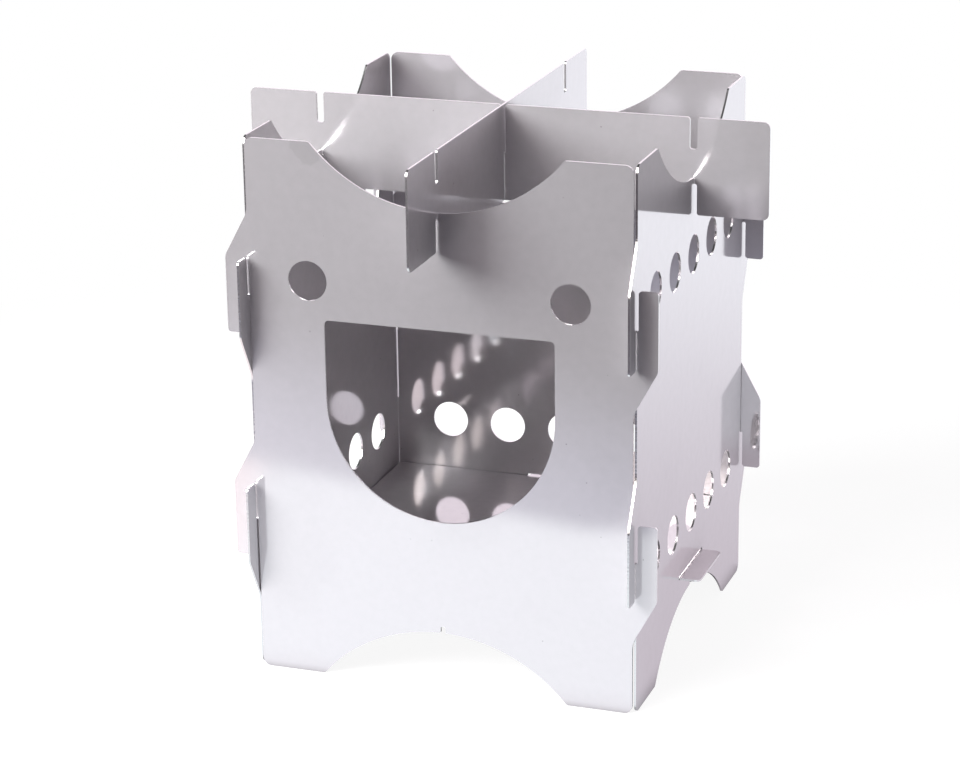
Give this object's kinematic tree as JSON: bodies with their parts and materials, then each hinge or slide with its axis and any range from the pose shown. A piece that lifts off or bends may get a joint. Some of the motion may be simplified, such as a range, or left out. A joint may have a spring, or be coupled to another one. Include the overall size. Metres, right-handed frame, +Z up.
{
  "type": "hobo stove",
  "caption": "Square flat-pack wood stove of slotted sheet steel plates, with a round-bottomed fuel door, vent holes, a raised floor and crossed pot supports.",
  "frame": {"origin": "on the ground, under the middle of the stove", "axes": "+Z up, the wall with the fuel door faces -Y, the lower pot support runs along X and the upper one along Y"},
  "size_m": [0.164, 0.164, 0.165],
  "materials": {
    "stainless_sheet": "bright cold-rolled stainless sheet with bare laser-cut edges"
  },
  "bodies": {
    "stove_body": {"front_wall": "stainless_sheet", "right_wall": "stainless_sheet", "back_wall": "stainless_sheet", "left_wall": "stainless_sheet", "floor_plate": "stainless_sheet"},
    "lower_support": {"lower_pot_support": "stainless_sheet"},
    "upper_support": {"upper_pot_support": "stainless_sheet"}
  },
  "joints": [
    {"name": "lower_support_lift", "type": "slide", "parent": "stove_body", "child": "lower_support", "axis": [0, 0, 1], "range_m": [0, 0.012]},
    {"name": "upper_support_lift", "type": "slide", "parent": "lower_support", "child": "upper_support", "axis": [0, 0, 1], "range_m": [0, 0.03]}
  ]
}
